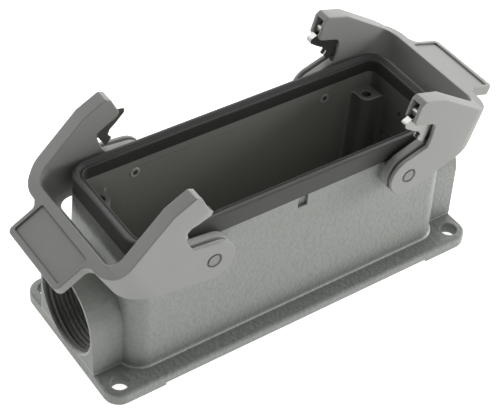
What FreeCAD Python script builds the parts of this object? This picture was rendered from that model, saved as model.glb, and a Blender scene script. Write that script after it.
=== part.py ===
"""Surface-mounting housing of a heavy duty rectangular connector, with two locking levers.

Units are millimetres. X runs along the housing, Y across it and Z up; the origin lies
under the middle of the housing, on the plane of its feet.
"""
import FreeCAD, Part
import math
import os
import Sketcher

# Sizes, one value each

SIZES = {
    # Flange
    "flange_length": 143.8,
    "flange_width": 56.8,
    "flange_thickness": 4.5,
    "flange_corner": 5.5,
    "flange_edge_bevel": 0.6,
    "mounting_hole_radius": 2.9,
    "hole_edge_x": 5.55,
    "hole_edge_y": 5.3,
    "foot_inner_end": 52.5,
    "foot_height": 1.0,
    # Walls
    "rim_length": 120.0,
    "rim_width": 40.4,
    "rim_corner": 5.5,
    "shoulder_height": 49.35,
    "wall_draft": 2.3,
    "wall_foot_bevel": 0.8,
    # Cavity
    "cavity_length": 113.6,
    "cavity_width": 35.0,
    "cavity_corner": 3.5,
    "floor_height": 3.5,
    "shelf_drop": 4.35,
    "post_inner_x": 48.9,
    "post_inner_y": 10.2,
    "post_corner": 3.0,
    "post_blend": 2.0,
    "insert_spacing_length": 104.0,
    "insert_spacing_width": 27.0,
    "insert_hole_radius": 1.65,
    "insert_hole_depth": 14.0,
    # Rim tongue under the seal
    "tongue_inset": 0.9,
    "tongue_thickness": 1.4,
    "inner_shoulder_rise": 1.55,
    # Code notch in the near wall
    "notch_x": 0.5,
    "notch_width": 3.4,
    "notch_height": 4.75,
    "notch_depth": 1.0,
    # End bosses
    "boss_foot_width": 33.8,
    "boss_top_width": 30.6,
    "boss_height": 33.5,
    "boss_arch_radius": 14.8,
    "blind_boss_arch_radius": 9.5,
    "bore_radius": 14.15,
    "bore_height": 18.2,
    "bore_lead_in": 0.6,
    "blind_end_wall": 3.0,
    "blind_width": 24.0,
    "blind_height": 31.2,
    "blind_arch_radius": 5.0,
    "core_mark_radius": 0.8,
    "core_mark_depth": 0.5,
    "core_mark_y": 1.2,
    "core_mark_drop": 6.55,
    # Pivots
    "pivot_x": 37.02,
    "pivot_drop": 3.23,
    "pivot_boss_radius": 6.5,
    "pivot_boss_proud": 1.8,
    "pin_radius": 2.5,
    "pin_clearance": 0.05,
    "pin_tail_radius": 1.8,
    "pin_tail_proud": 0.2,
    "pin_dimple_radius": 0.9,
    "pin_dimple_depth": 0.5,
    "pin_sink": 0.05,
    # Seal
    "seal_width": 3.3,
    "seal_rise": 6.95,
    "seal_cover": 1.8,
    "seal_valley_drop": 1.0,
    "seal_inner_drop": 0.65,
    "seal_lip_bevel": 0.35,
    # Levers, in their closed position
    "arm_thickness": 5.2,
    "arm_gap": 0.3,
    "eye_radius": 7.3,
    "hook_top_x": 7.1,
    "hook_top_z": 28.6,
    "hook_nose_x": 8.4,
    "hook_nose_z": 27.0,
    "lip_front_x": 8.1,
    "lip_front_z": 20.7,
    "lip_low_x": 6.8,
    "lip_low_z": 19.7,
    "mouth_top_x": 1.7,
    "mouth_back_x": 2.8,
    "mouth_back_z": 14.7,
    "mouth_low_z": 10.9,
    "mouth_round": 1.6,
    "throat_x": 4.0,
    "heel_x": 5.0,
    "crest_x": 1.3,
    "crest_z": 28.8,
    "wall_inner_x": 24.3,
    "wall_thickness": 3.9,
    "wall_foot_inner_z": 8.8,
    "wall_foot_outer_z": 10.2,
    "lever_outer_corner": 9.0,
    "lever_inner_corner": 1.2,
    "tab_top_z": 22.4,
    "tab_thickness": 3.4,
    "tab_reach": 40.2,
    "tab_width": 29.2,
    "tab_root_width": 33.8,
    "tab_root_length": 1.5,
    "tab_corner": 2.0,
    "recess_start_x": 27.3,
    "recess_end_x": 38.3,
    "recess_width": 26.4,
    "recess_corner": 0.8,
    "recess_depth": 0.6,
    "left_open_angle": 29.0,
    "right_open_angle": 17.0,
    "near_left_catch_sag": 25.0,
    "sag_centre_x": 3.95,
    "sag_centre_z": 20.9,
    # Slot in each arm, and the groove that runs on from it round the eye
    "arm_outer_skin": 1.4,
    "slot_width": 2.9,
    "slot_top_z": 27.1,
    "slot_back_x": 7.5,
    "slot_back_top_z": 24.6,
    "slot_foot_z": 11.2,
    "slot_front_x": 14.0,
    "groove_width": 1.0,
    "groove_foot_x": 3.4,
    "groove_foot_z": 4.6,
    "groove_front_x": 5.8,
    "groove_bend_x": 4.2,
    "groove_bend_z": 4.2,
    "groove_top_x": 4.4,
    "groove_top_z": 9.6,
    # Steel catch
    "catch_width": 2.3,
    "catch_sheet": 0.5,
    "beak_x": 10.2,
    "beak_z": 19.4,
    "beak_top_x": 8.0,
    "beak_top_z": 21.3,
    "beak_low_x": 9.4,
    "beak_low_z": 18.0,
    "beak_round": 0.8,
    "beak_under_x": 5.2,
    "beak_under_z": 16.7,
    "jaw_x": 2.6,
    "jaw_z": 16.2,
    "jaw_back_x": 1.1,
    "jaw_back_z": 14.9,
    "jaw_low_x": 1.5,
    "jaw_low_z": 13.3,
    "prong_x": 1.2,
    "prong_z": 12.8,
    "catch_foot_x": 1.2,
    "catch_foot_z": 11.8,
    "catch_back_x": 1.7,
    "catch_back_low_z": 12.6,
    "catch_back_top_z": 16.8,
    "catch_tail_x": 4.5,
    "catch_tail_z": 18.2,
    "catch_tail_top_z": 19.3,
    "catch_top_x": 4.5,
    "catch_top_z": 21.4,
    # Leaf spring
    "leaf_thickness": 0.4,
    "leaf_root_z": 23.8,
    "leaf_bend_z": 24.4,
    "leaf_bend_x": 7.4,
    "leaf_bend_radius": 1.0,
    "leaf_tip_x": 6.6,
    "leaf_tip_z": 21.8,
}

# Edges this near to a wanted place are picked
CLOSE = 1e-4

doc = FreeCAD.newDocument("connector_housing")
sheet = doc.addObject("Spreadsheet::Sheet", "dims")
for row, (alias, size) in enumerate(SIZES.items(), start=1):
    sheet.set("A%d" % row, alias)
    sheet.set("B%d" % row, str(size))
    sheet.setAlias("B%d" % row, alias)
doc.recompute()


# Helpers

def reckon(expression):
    """Present value of an expression on the sheet's sizes."""
    answer = sheet.evalExpression(expression)
    return float(getattr(answer, "Value", answer))


def new_body(name):
    """An empty body whose label is its node name."""
    body = doc.addObject("PartDesign::Body", name)
    body.Label = name
    return body


def sketch_on(body, name, role, offset=None):
    """A sketch on one of the body's origin planes, moved along the plane's normal."""
    sketch = body.newObject("Sketcher::SketchObject", name)
    plane = next(item for item in body.Origin.OriginFeatures if item.Role == role)
    sketch.AttachmentSupport = [(plane, "")]
    sketch.MapMode = "FlatFace"
    if offset:
        sketch.setExpression("AttachmentOffset.Base.z", offset)
    return sketch


def bind(sketch, kind, where, expression, tag):
    """A sized constraint that follows an expression."""
    index = sketch.addConstraint(Sketcher.Constraint(kind, *where, reckon(expression)))
    sketch.renameConstraint(index, tag)
    sketch.setExpression("Constraints." + tag, expression)


def place_point(sketch, geometry, position, x, y, tag):
    """Hold a point at (x, y); a zero keeps it on the axis."""
    if x == "0":
        sketch.addConstraint(Sketcher.Constraint("PointOnObject", geometry, position, -2))
    else:
        bind(sketch, "DistanceX", (-1, 1, geometry, position), x, tag + "x")
    if y == "0":
        sketch.addConstraint(Sketcher.Constraint("PointOnObject", geometry, position, -1))
    else:
        bind(sketch, "DistanceY", (-1, 1, geometry, position), y, tag + "y")


def chain(sketch, corners, prefix="k", closed=True):
    """Lines through the corners, each (x, y) or (x, y, radius), as expressions."""
    points = [FreeCAD.Vector(reckon(c[0]), reckon(c[1]), 0) for c in corners]
    count = len(points)
    arrive = list(points)
    leave = list(points)
    arcs = {}
    for i, corner in enumerate(corners):
        if len(corner) < 3:
            continue
        back = (points[i - 1] - points[i]).normalize()
        ahead = (points[(i + 1) % count] - points[i]).normalize()
        radius = reckon(corner[2])
        half = back.getAngle(ahead) / 2
        reach = radius / math.tan(half)
        arrive[i] = points[i] + back * reach
        leave[i] = points[i] + ahead * reach
        centre = points[i] + (back + ahead).normalize() * (radius / math.sin(half))
        left_turn = (back.cross(ahead)).z < 0
        first, last = (arrive[i], leave[i]) if left_turn else (leave[i], arrive[i])
        start = math.atan2(first.y - centre.y, first.x - centre.x)
        stop = math.atan2(last.y - centre.y, last.x - centre.x)
        circle = Part.Circle(centre, FreeCAD.Vector(0, 0, 1), radius)
        arcs[i] = (Part.ArcOfCircle(circle, start, stop), left_turn)
    spans = count if closed else count - 1
    lines = []
    for i in range(spans):
        lines.append(sketch.addGeometry(Part.LineSegment(leave[i], arrive[(i + 1) % count])))
    for i, corner in enumerate(corners):
        tag = "%s%d" % (prefix, i)
        first_free = not closed and i == 0
        last_free = not closed and i == count - 1
        if i in arcs:
            arc, left_turn = arcs[i]
            arc_id = sketch.addGeometry(arc)
            begin, end = (1, 2) if left_turn else (2, 1)
            sketch.addConstraint(Sketcher.Constraint("Tangent", lines[i - 1], 2, arc_id, begin))
            sketch.addConstraint(Sketcher.Constraint("Tangent", arc_id, end, lines[i], 1))
            bind(sketch, "Radius", (arc_id,), corner[2], tag + "r")
            mark = sketch.addGeometry(Part.Point(points[i]), True)
            sketch.addConstraint(Sketcher.Constraint("PointOnObject", mark, 1, lines[i - 1]))
            sketch.addConstraint(Sketcher.Constraint("PointOnObject", mark, 1, lines[i]))
            place_point(sketch, mark, 1, corner[0], corner[1], tag)
        elif first_free:
            place_point(sketch, lines[0], 1, corner[0], corner[1], tag)
        elif last_free:
            place_point(sketch, lines[-1], 2, corner[0], corner[1], tag)
        else:
            sketch.addConstraint(Sketcher.Constraint("Coincident", lines[i - 1], 2, lines[i], 1))
            place_point(sketch, lines[i], 1, corner[0], corner[1], tag)
    return lines


def rectangle(sketch, half_x, half_y, radius, prefix="k"):
    """A round-cornered rectangle about the sketch's origin."""
    chain(sketch, [
        ("-(%s)" % half_x, "-(%s)" % half_y, radius),
        (half_x, "-(%s)" % half_y, radius),
        (half_x, half_y, radius),
        ("-(%s)" % half_x, half_y, radius),
    ], prefix)


def circle(sketch, x, y, radius, tag="c"):
    """A circle whose centre and radius follow expressions."""
    centre = FreeCAD.Vector(reckon(x), reckon(y), 0)
    shape = Part.Circle(centre, FreeCAD.Vector(0, 0, 1), reckon(radius))
    index = sketch.addGeometry(shape)
    place_point(sketch, index, 3, x, y, tag)
    bind(sketch, "Radius", (index,), radius, tag + "r")


def solid_feature(body, kind, name, sketch, length, symmetric=False, reverse=False, taper=None):
    """A pad or pocket of the sketch."""
    feature = body.newObject("PartDesign::" + kind, name)
    feature.Profile = sketch
    feature.setExpression("Length", length)
    if symmetric:
        feature.SideType = "Symmetric"
    feature.Reversed = reverse
    if taper:
        feature.setExpression("TaperAngle", taper)
    sketch.Visibility = False
    doc.recompute()
    return feature


def round_edges(body, kind, name, size, wanted):
    """Round or chamfer the edges of the body's present shape that are wanted."""
    base = body.Tip
    names = ["Edge%d" % (i + 1) for i, edge in enumerate(base.Shape.Edges) if wanted(edge)]
    feature = body.newObject("PartDesign::" + kind, name)
    feature.Base = (base, names)
    feature.setExpression("Radius" if kind == "Fillet" else "Size", size)
    doc.recompute()
    return feature


def flat_at(edge, height):
    """True for an edge that lies wholly at one height."""
    box = edge.BoundBox
    return abs(box.ZMin - height) < CLOSE and abs(box.ZMax - height) < CLOSE


def mirror_across(body, name, feature, role):
    """The feature again, mirrored in one of the body's origin planes."""
    copy = body.newObject("PartDesign::Mirrored", name)
    copy.Originals = [feature]
    plane = next(item for item in body.Origin.OriginFeatures if item.Role == role)
    copy.MirrorPlane = (plane, [""])
    body.Tip = copy
    doc.recompute()
    return copy


def shift(x, y, z):
    """A placement that only moves; its arguments are expressions."""
    return FreeCAD.Placement(FreeCAD.Vector(reckon(x), reckon(y), reckon(z)), FreeCAD.Rotation())


def turn(axis, degrees):
    """A placement that only turns about the origin."""
    return FreeCAD.Placement(FreeCAD.Vector(), FreeCAD.Rotation(axis, degrees))


# Housing, one casting

HALF_CAVITY_X = "dims.cavity_length / 2"
HALF_CAVITY_Y = "dims.cavity_width / 2"
HOLE_X = "(dims.flange_length / 2 - dims.hole_edge_x)"
HOLE_Y = "(dims.flange_width / 2 - dims.hole_edge_y)"
SHELF_Z = "(dims.shoulder_height - dims.shelf_drop)"
PIVOT_Z = "(dims.shoulder_height - dims.pivot_drop)"
INNER_SHOULDER = "(dims.shoulder_height + dims.inner_shoulder_rise)"
SEAL_TOP = "(dims.shoulder_height + dims.seal_rise)"
TONGUE_TOP = "(%s - dims.seal_cover)" % SEAL_TOP
BOSS_FACE_Y = "(dims.rim_width / 2 + dims.pivot_boss_proud)"
ARM_INNER_Y = "(%s + dims.arm_gap)" % BOSS_FACE_Y
ARM_OUTER_Y = "(%s + dims.arm_thickness)" % ARM_INNER_Y

housing = new_body("housing")

plate_sketch = sketch_on(housing, "plate_outline", "XY_Plane")
rectangle(plate_sketch, "dims.flange_length / 2", "dims.flange_width / 2", "dims.flange_corner")
solid_feature(housing, "Pad", "plate", plate_sketch, "dims.flange_thickness")
round_edges(housing, "Chamfer", "plate_edge", "dims.flange_edge_bevel",
            lambda edge: flat_at(edge, SIZES["flange_thickness"]))

wall_sketch = sketch_on(housing, "wall_outline", "XY_Plane", "dims.shoulder_height")
rectangle(wall_sketch, "dims.rim_length / 2", "dims.rim_width / 2", "dims.rim_corner")
solid_feature(housing, "Pad", "walls", wall_sketch, "dims.shoulder_height",
              reverse=True, taper="dims.wall_draft")

for boss, arch, leftward in (("entry_boss", "dims.boss_arch_radius", True),
                             ("blind_boss", "dims.blind_boss_arch_radius", False)):
    boss_sketch = sketch_on(housing, boss + "_outline", "YZ_Plane")
    chain(boss_sketch, [
        ("-dims.boss_foot_width / 2", "dims.flange_thickness / 2"),
        ("dims.boss_foot_width / 2", "dims.flange_thickness / 2"),
        ("dims.boss_top_width / 2", "dims.boss_height", arch),
        ("-dims.boss_top_width / 2", "dims.boss_height", arch),
    ])
    solid_feature(housing, "Pad", boss, boss_sketch, "dims.flange_length / 2", reverse=leftward)


def wall_foot(edge):
    """The long edges where the side walls stand on the plate."""
    box = edge.BoundBox
    plate_top = SIZES["flange_width"] / 2 - SIZES["flange_edge_bevel"]
    return flat_at(edge, SIZES["flange_thickness"]) and (
        abs(box.Center.y) < plate_top - CLOSE) and (
        box.XLength > 2 * SIZES["pivot_x"])


round_edges(housing, "Chamfer", "wall_foot", "dims.wall_foot_bevel", wall_foot)

pivot_sketch = sketch_on(housing, "pivot_boss_outline", "XZ_Plane")
circle(pivot_sketch, "dims.pivot_x", PIVOT_Z, "dims.pivot_boss_radius", "right")
circle(pivot_sketch, "-dims.pivot_x", PIVOT_Z, "dims.pivot_boss_radius", "left")
solid_feature(housing, "Pad", "pivot_bosses", pivot_sketch, "2 * " + BOSS_FACE_Y, symmetric=True)

trim_sketch = sketch_on(housing, "shoulder_trim", "XY_Plane", "dims.shoulder_height")
rectangle(trim_sketch, "dims.flange_length / 2", "dims.flange_width / 2", "dims.flange_corner")
solid_feature(housing, "Pocket", "shoulder", trim_sketch, "2 * dims.pivot_boss_radius", reverse=True)

TONGUE_OUT = "(dims.tongue_inset + dims.tongue_thickness)"
tongue_sketch = sketch_on(housing, "tongue_outline", "XY_Plane", "dims.shoulder_height")
rectangle(tongue_sketch, "%s + %s" % (HALF_CAVITY_X, TONGUE_OUT),
          "%s + %s" % (HALF_CAVITY_Y, TONGUE_OUT), "dims.cavity_corner + " + TONGUE_OUT)
solid_feature(housing, "Pad", "tongue", tongue_sketch, "dims.seal_rise - dims.seal_cover")

mouth_sketch = sketch_on(housing, "inner_shoulder_outline", "XY_Plane", TONGUE_TOP)
rectangle(mouth_sketch, HALF_CAVITY_X + " + dims.tongue_inset",
          HALF_CAVITY_Y + " + dims.tongue_inset", "dims.cavity_corner + dims.tongue_inset")
solid_feature(housing, "Pocket", "inner_shoulder", mouth_sketch,
              "%s - %s" % (TONGUE_TOP, INNER_SHOULDER))

cavity_sketch = sketch_on(housing, "cavity_outline", "XY_Plane", INNER_SHOULDER)
rectangle(cavity_sketch, HALF_CAVITY_X, HALF_CAVITY_Y, "dims.cavity_corner")
solid_feature(housing, "Pocket", "cavity", cavity_sketch,
              "%s - %s" % (INNER_SHOULDER, SHELF_Z))

well_sketch = sketch_on(housing, "well_outline", "XY_Plane", SHELF_Z)
chain(well_sketch, [
    (HALF_CAVITY_X, "-dims.post_inner_y", "dims.post_blend"),
    (HALF_CAVITY_X, "dims.post_inner_y", "dims.post_blend"),
    ("dims.post_inner_x", "dims.post_inner_y", "dims.post_corner"),
    ("dims.post_inner_x", HALF_CAVITY_Y, "dims.post_blend"),
    ("-dims.post_inner_x", HALF_CAVITY_Y, "dims.post_blend"),
    ("-dims.post_inner_x", "dims.post_inner_y", "dims.post_corner"),
    ("-" + HALF_CAVITY_X, "dims.post_inner_y", "dims.post_blend"),
    ("-" + HALF_CAVITY_X, "-dims.post_inner_y", "dims.post_blend"),
    ("-dims.post_inner_x", "-dims.post_inner_y", "dims.post_corner"),
    ("-dims.post_inner_x", "-" + HALF_CAVITY_Y, "dims.post_blend"),
    ("dims.post_inner_x", "-" + HALF_CAVITY_Y, "dims.post_blend"),
    ("dims.post_inner_x", "-dims.post_inner_y", "dims.post_corner"),
])
solid_feature(housing, "Pocket", "well", well_sketch, SHELF_Z + " - dims.floor_height")

bore_sketch = sketch_on(housing, "bore_outline", "YZ_Plane", "-dims.flange_length / 2")
circle(bore_sketch, "0", "dims.bore_height", "dims.bore_radius")
solid_feature(housing, "Pocket", "cable_bore", bore_sketch,
              "dims.flange_length / 2 - dims.cavity_length / 2", reverse=True)


def bore_mouth(edge):
    """The bore's circle on the left end face."""
    return isinstance(edge.Curve, Part.Circle) and (
        abs(edge.Curve.Radius - SIZES["bore_radius"]) < CLOSE) and (
        edge.BoundBox.XMax < -SIZES["rim_length"] / 2)


round_edges(housing, "Chamfer", "bore_lead_in", "dims.bore_lead_in", bore_mouth)

blind_sketch = sketch_on(housing, "blind_end_outline", "YZ_Plane", HALF_CAVITY_X)
chain(blind_sketch, [
    ("-dims.blind_width / 2", "dims.floor_height"),
    ("dims.blind_width / 2", "dims.floor_height"),
    ("dims.blind_width / 2", "dims.blind_height", "dims.blind_arch_radius"),
    ("-dims.blind_width / 2", "dims.blind_height", "dims.blind_arch_radius"),
])
solid_feature(housing, "Pocket", "blind_end", blind_sketch,
              "dims.flange_length / 2 - dims.cavity_length / 2 - dims.blind_end_wall", reverse=True)

mark_sketch = sketch_on(housing, "core_mark_outline", "YZ_Plane", HALF_CAVITY_X)
circle(mark_sketch, "dims.core_mark_y", "dims.shoulder_height - dims.core_mark_drop",
       "dims.core_mark_radius")
solid_feature(housing, "Pocket", "core_mark", mark_sketch, "dims.core_mark_depth", reverse=True)

mount_sketch = sketch_on(housing, "mounting_holes_outline", "XY_Plane")
insert_sketch = sketch_on(housing, "insert_holes_outline", "XY_Plane", SHELF_Z)
for tag, sign_x, sign_y in (("a", "", ""), ("b", "-", ""), ("c", "-", "-"), ("d", "", "-")):
    circle(mount_sketch, sign_x + HOLE_X, sign_y + HOLE_Y, "dims.mounting_hole_radius", tag)
    circle(insert_sketch, sign_x + "dims.insert_spacing_length / 2",
           sign_y + "dims.insert_spacing_width / 2", "dims.insert_hole_radius", tag)
solid_feature(housing, "Pocket", "mounting_holes", mount_sketch, "dims.flange_thickness", reverse=True)
solid_feature(housing, "Pocket", "insert_holes", insert_sketch, "dims.insert_hole_depth")

tail_sketch = sketch_on(housing, "pin_holes_outline", "XZ_Plane")
circle(tail_sketch, "dims.pivot_x", PIVOT_Z, "dims.pin_tail_radius", "right")
circle(tail_sketch, "-dims.pivot_x", PIVOT_Z, "dims.pin_tail_radius", "left")
solid_feature(housing, "Pocket", "pin_holes", tail_sketch, "dims.flange_width", symmetric=True)

notch_sketch = sketch_on(housing, "code_notch_outline", "XZ_Plane", "dims.rim_width / 2 + dims.notch_depth")
chain(notch_sketch, [
    ("dims.notch_x - dims.notch_width / 2", "dims.shoulder_height - dims.notch_height"),
    ("dims.notch_x + dims.notch_width / 2", "dims.shoulder_height - dims.notch_height"),
    ("dims.notch_x + dims.notch_width / 2", "dims.shoulder_height"),
    ("dims.notch_x - dims.notch_width / 2", "dims.shoulder_height"),
])
solid_feature(housing, "Pocket", "code_notch", notch_sketch, "2 * dims.notch_depth")

foot_sketch = sketch_on(housing, "foot_relief_outline", "XY_Plane")
chain(foot_sketch, [
    ("-dims.foot_inner_end", "-dims.flange_width / 2"),
    ("dims.foot_inner_end", "-dims.flange_width / 2"),
    ("dims.foot_inner_end", "dims.flange_width / 2"),
    ("-dims.foot_inner_end", "dims.flange_width / 2"),
])
solid_feature(housing, "Pocket", "foot_relief", foot_sketch, "dims.foot_height", reverse=True)
housing.Placement = shift("0", "0", "0")


# Seal, a U-section swept round the tongue

rim_seal = new_body("rim_seal")
seal_path = sketch_on(rim_seal, "seal_path", "XY_Plane", "dims.shoulder_height")
rectangle(seal_path, HALF_CAVITY_X, HALF_CAVITY_Y, "dims.cavity_corner")
seal_section = sketch_on(rim_seal, "seal_section", "XZ_Plane")
chain(seal_section, [
    (HALF_CAVITY_X + " + " + TONGUE_OUT, "dims.shoulder_height"),
    (HALF_CAVITY_X + " + dims.seal_width", "dims.shoulder_height"),
    (HALF_CAVITY_X + " + dims.seal_width", SEAL_TOP + " - dims.seal_lip_bevel"),
    (HALF_CAVITY_X + " + dims.seal_width - dims.seal_lip_bevel", SEAL_TOP),
    (HALF_CAVITY_X + " + " + TONGUE_OUT, SEAL_TOP),
    (HALF_CAVITY_X + " + dims.tongue_inset", SEAL_TOP + " - dims.seal_valley_drop"),
    (HALF_CAVITY_X + " + dims.seal_lip_bevel", SEAL_TOP + " - dims.seal_inner_drop"),
    (HALF_CAVITY_X, SEAL_TOP + " - dims.seal_inner_drop - dims.seal_lip_bevel"),
    (HALF_CAVITY_X, INNER_SHOULDER),
    (HALF_CAVITY_X + " + dims.tongue_inset", INNER_SHOULDER),
    (HALF_CAVITY_X + " + dims.tongue_inset", TONGUE_TOP),
    (HALF_CAVITY_X + " + " + TONGUE_OUT, TONGUE_TOP),
])
doc.recompute()
seal_sweep = rim_seal.newObject("PartDesign::AdditivePipe", "seal_sweep")
seal_sweep.Profile = seal_section
seal_sweep.Spine = (seal_path, ["Edge%d" % (i + 1) for i in range(len(seal_path.Shape.Edges))])
doc.recompute()
rim_seal.Placement = shift("0", "0", "0")


# Levers, modelled closed about the pivot axis and set down open

WALL_OUTER_X = "(dims.wall_inner_x + dims.wall_thickness)"
SLOT_Y = "(%s - dims.arm_outer_skin - dims.slot_width / 2)" % ARM_OUTER_Y
GROOVE_Y = "(%s - dims.arm_outer_skin - dims.groove_width / 2)" % ARM_OUTER_Y
CATCH_SIDE = "dims.catch_width / 2"


def make_lever(name):
    """One forked lever: two hooked arms, the cross wall and the tab."""
    body = new_body(name)
    side = sketch_on(body, name + "_side", "XZ_Plane")
    chain(side, [
        ("0", "0"),
        ("dims.heel_x", "-sqrt(dims.eye_radius ^ 2 - dims.heel_x ^ 2)"),
        ("dims.wall_inner_x", "dims.wall_foot_inner_z"),
        (WALL_OUTER_X, "dims.wall_foot_outer_z"),
        (WALL_OUTER_X, "dims.tab_top_z"),
        ("dims.wall_inner_x", "dims.tab_top_z"),
        ("dims.crest_x", "dims.crest_z"),
        ("-dims.hook_top_x", "dims.hook_top_z"),
        ("-dims.hook_nose_x", "dims.hook_nose_z"),
        ("-dims.lip_front_x", "dims.lip_front_z"),
        ("-dims.lip_low_x", "dims.lip_low_z"),
        ("dims.mouth_top_x", "dims.lip_low_z", "dims.mouth_round"),
        ("dims.mouth_back_x", "dims.mouth_back_z"),
        ("dims.mouth_back_x", "dims.mouth_low_z"),
        ("-dims.throat_x", "sqrt(dims.eye_radius ^ 2 - dims.throat_x ^ 2)"),
    ])
    solid_feature(body, "Pad", name + "_block", side, "2 * " + ARM_OUTER_Y, symmetric=True)
    eye = sketch_on(body, name + "_eye_outline", "XZ_Plane")
    circle(eye, "0", "0", "dims.eye_radius")
    solid_feature(body, "Pad", name + "_eyes", eye, "2 * " + ARM_OUTER_Y, symmetric=True)

    def outer_corner(edge):
        """An upright edge of the cross wall's outer face."""
        box = edge.BoundBox
        upright = box.XLength < CLOSE and box.YLength < CLOSE
        return upright and abs(box.XMin - reckon(WALL_OUTER_X)) < CLOSE

    round_edges(body, "Fillet", name + "_corners", "dims.lever_outer_corner", outer_corner)

    fork = sketch_on(body, name + "_fork_outline", "XY_Plane")
    chain(fork, [
        ("-dims.slot_front_x", "-" + ARM_INNER_Y),
        ("dims.wall_inner_x", "-" + ARM_INNER_Y, "dims.lever_inner_corner"),
        ("dims.wall_inner_x", ARM_INNER_Y, "dims.lever_inner_corner"),
        ("-dims.slot_front_x", ARM_INNER_Y),
    ])
    solid_feature(body, "Pocket", name + "_fork", fork, "3 * dims.crest_z", symmetric=True)

    tab = sketch_on(body, name + "_tab_outline", "XY_Plane", "dims.tab_top_z")
    root = "(%s + dims.tab_root_length)" % WALL_OUTER_X
    chain(tab, [
        ("dims.wall_inner_x + dims.wall_thickness / 2", "-dims.tab_root_width / 2"),
        (WALL_OUTER_X, "-dims.tab_root_width / 2"),
        (root, "-dims.tab_width / 2", "dims.tab_corner"),
        ("dims.tab_reach", "-dims.tab_width / 2", "dims.tab_corner"),
        ("dims.tab_reach", "dims.tab_width / 2", "dims.tab_corner"),
        (root, "dims.tab_width / 2", "dims.tab_corner"),
        (WALL_OUTER_X, "dims.tab_root_width / 2"),
        ("dims.wall_inner_x + dims.wall_thickness / 2", "dims.tab_root_width / 2"),
    ])
    solid_feature(body, "Pad", name + "_tab", tab, "dims.tab_thickness", reverse=True)

    recess = sketch_on(body, name + "_recess_outline", "XY_Plane", "dims.tab_top_z")
    chain(recess, [
        ("dims.recess_start_x", "-dims.recess_width / 2", "dims.recess_corner"),
        ("dims.recess_end_x", "-dims.recess_width / 2", "dims.recess_corner"),
        ("dims.recess_end_x", "dims.recess_width / 2", "dims.recess_corner"),
        ("dims.recess_start_x", "dims.recess_width / 2", "dims.recess_corner"),
    ])
    solid_feature(body, "Pocket", name + "_recess", recess, "dims.recess_depth")

    hole = sketch_on(body, name + "_pin_hole_outline", "XZ_Plane")
    circle(hole, "0", "0", "dims.pin_radius + dims.pin_clearance")
    solid_feature(body, "Pocket", name + "_pin_holes", hole, "3 * " + ARM_OUTER_Y, symmetric=True)

    slot = sketch_on(body, name + "_slot_outline", "XZ_Plane", SLOT_Y)
    chain(slot, [
        ("-dims.slot_front_x", "dims.slot_foot_z"),
        ("dims.slot_back_x", "dims.slot_foot_z"),
        ("dims.slot_back_x", "dims.slot_back_top_z"),
        ("dims.crest_x", "dims.slot_top_z"),
        ("-dims.slot_front_x", "dims.slot_top_z"),
    ])
    cut = solid_feature(body, "Pocket", name + "_slot", slot, "dims.slot_width", symmetric=True)
    mirror_across(body, name + "_slot_far", cut, "XZ_Plane")

    groove = sketch_on(body, name + "_groove_outline", "XZ_Plane", GROOVE_Y)
    chain(groove, [
        ("-dims.slot_front_x", "-dims.groove_foot_z"),
        ("-dims.groove_foot_x", "-dims.groove_foot_z"),
        ("-dims.groove_front_x", "0"),
        ("-dims.groove_bend_x", "dims.groove_bend_z"),
        ("dims.groove_top_x", "dims.groove_top_z"),
        ("dims.groove_top_x", "dims.slot_foot_z"),
        ("-dims.slot_front_x", "dims.slot_foot_z"),
    ])
    cut = solid_feature(body, "Pocket", name + "_groove", groove, "dims.groove_width", symmetric=True)
    mirror_across(body, name + "_groove_far", cut, "XZ_Plane")
    return body


def make_catch(name):
    """A stamped sheet folded in a U, with its fold at the beak."""
    body = new_body(name)
    outline = sketch_on(body, name + "_outline", "XZ_Plane")
    chain(outline, [
        ("-dims.beak_top_x", "dims.beak_top_z", "dims.beak_round"),
        ("-dims.beak_x", "dims.beak_z", "dims.beak_round"),
        ("-dims.beak_low_x", "dims.beak_low_z", "dims.beak_round"),
        ("-dims.beak_under_x", "dims.beak_under_z"),
        ("-dims.jaw_x", "dims.jaw_z"),
        ("-dims.jaw_back_x", "dims.jaw_back_z", "dims.beak_round"),
        ("-dims.jaw_low_x", "dims.jaw_low_z"),
        ("-dims.prong_x", "dims.prong_z"),
        ("dims.catch_foot_x", "dims.catch_foot_z"),
        ("dims.catch_back_x", "dims.catch_back_low_z"),
        ("dims.catch_back_x", "dims.catch_back_top_z"),
        ("dims.catch_tail_x", "dims.catch_tail_z"),
        ("dims.catch_tail_x", "dims.catch_tail_top_z"),
        ("-dims.catch_top_x", "dims.catch_top_z"),
    ])
    solid_feature(body, "Pad", name + "_blank", outline, "dims.catch_width", symmetric=True)
    hollow = sketch_on(body, name + "_hollow_outline", "XZ_Plane")
    chain(hollow, [
        ("-dims.beak_top_x", "0"),
        ("2 * dims.slot_back_x", "0"),
        ("2 * dims.slot_back_x", "dims.crest_z"),
        ("-dims.beak_top_x", "dims.crest_z"),
    ])
    solid_feature(body, "Pocket", name + "_hollow", hollow,
                  "dims.catch_width - 2 * dims.catch_sheet", symmetric=True)
    return body


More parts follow.
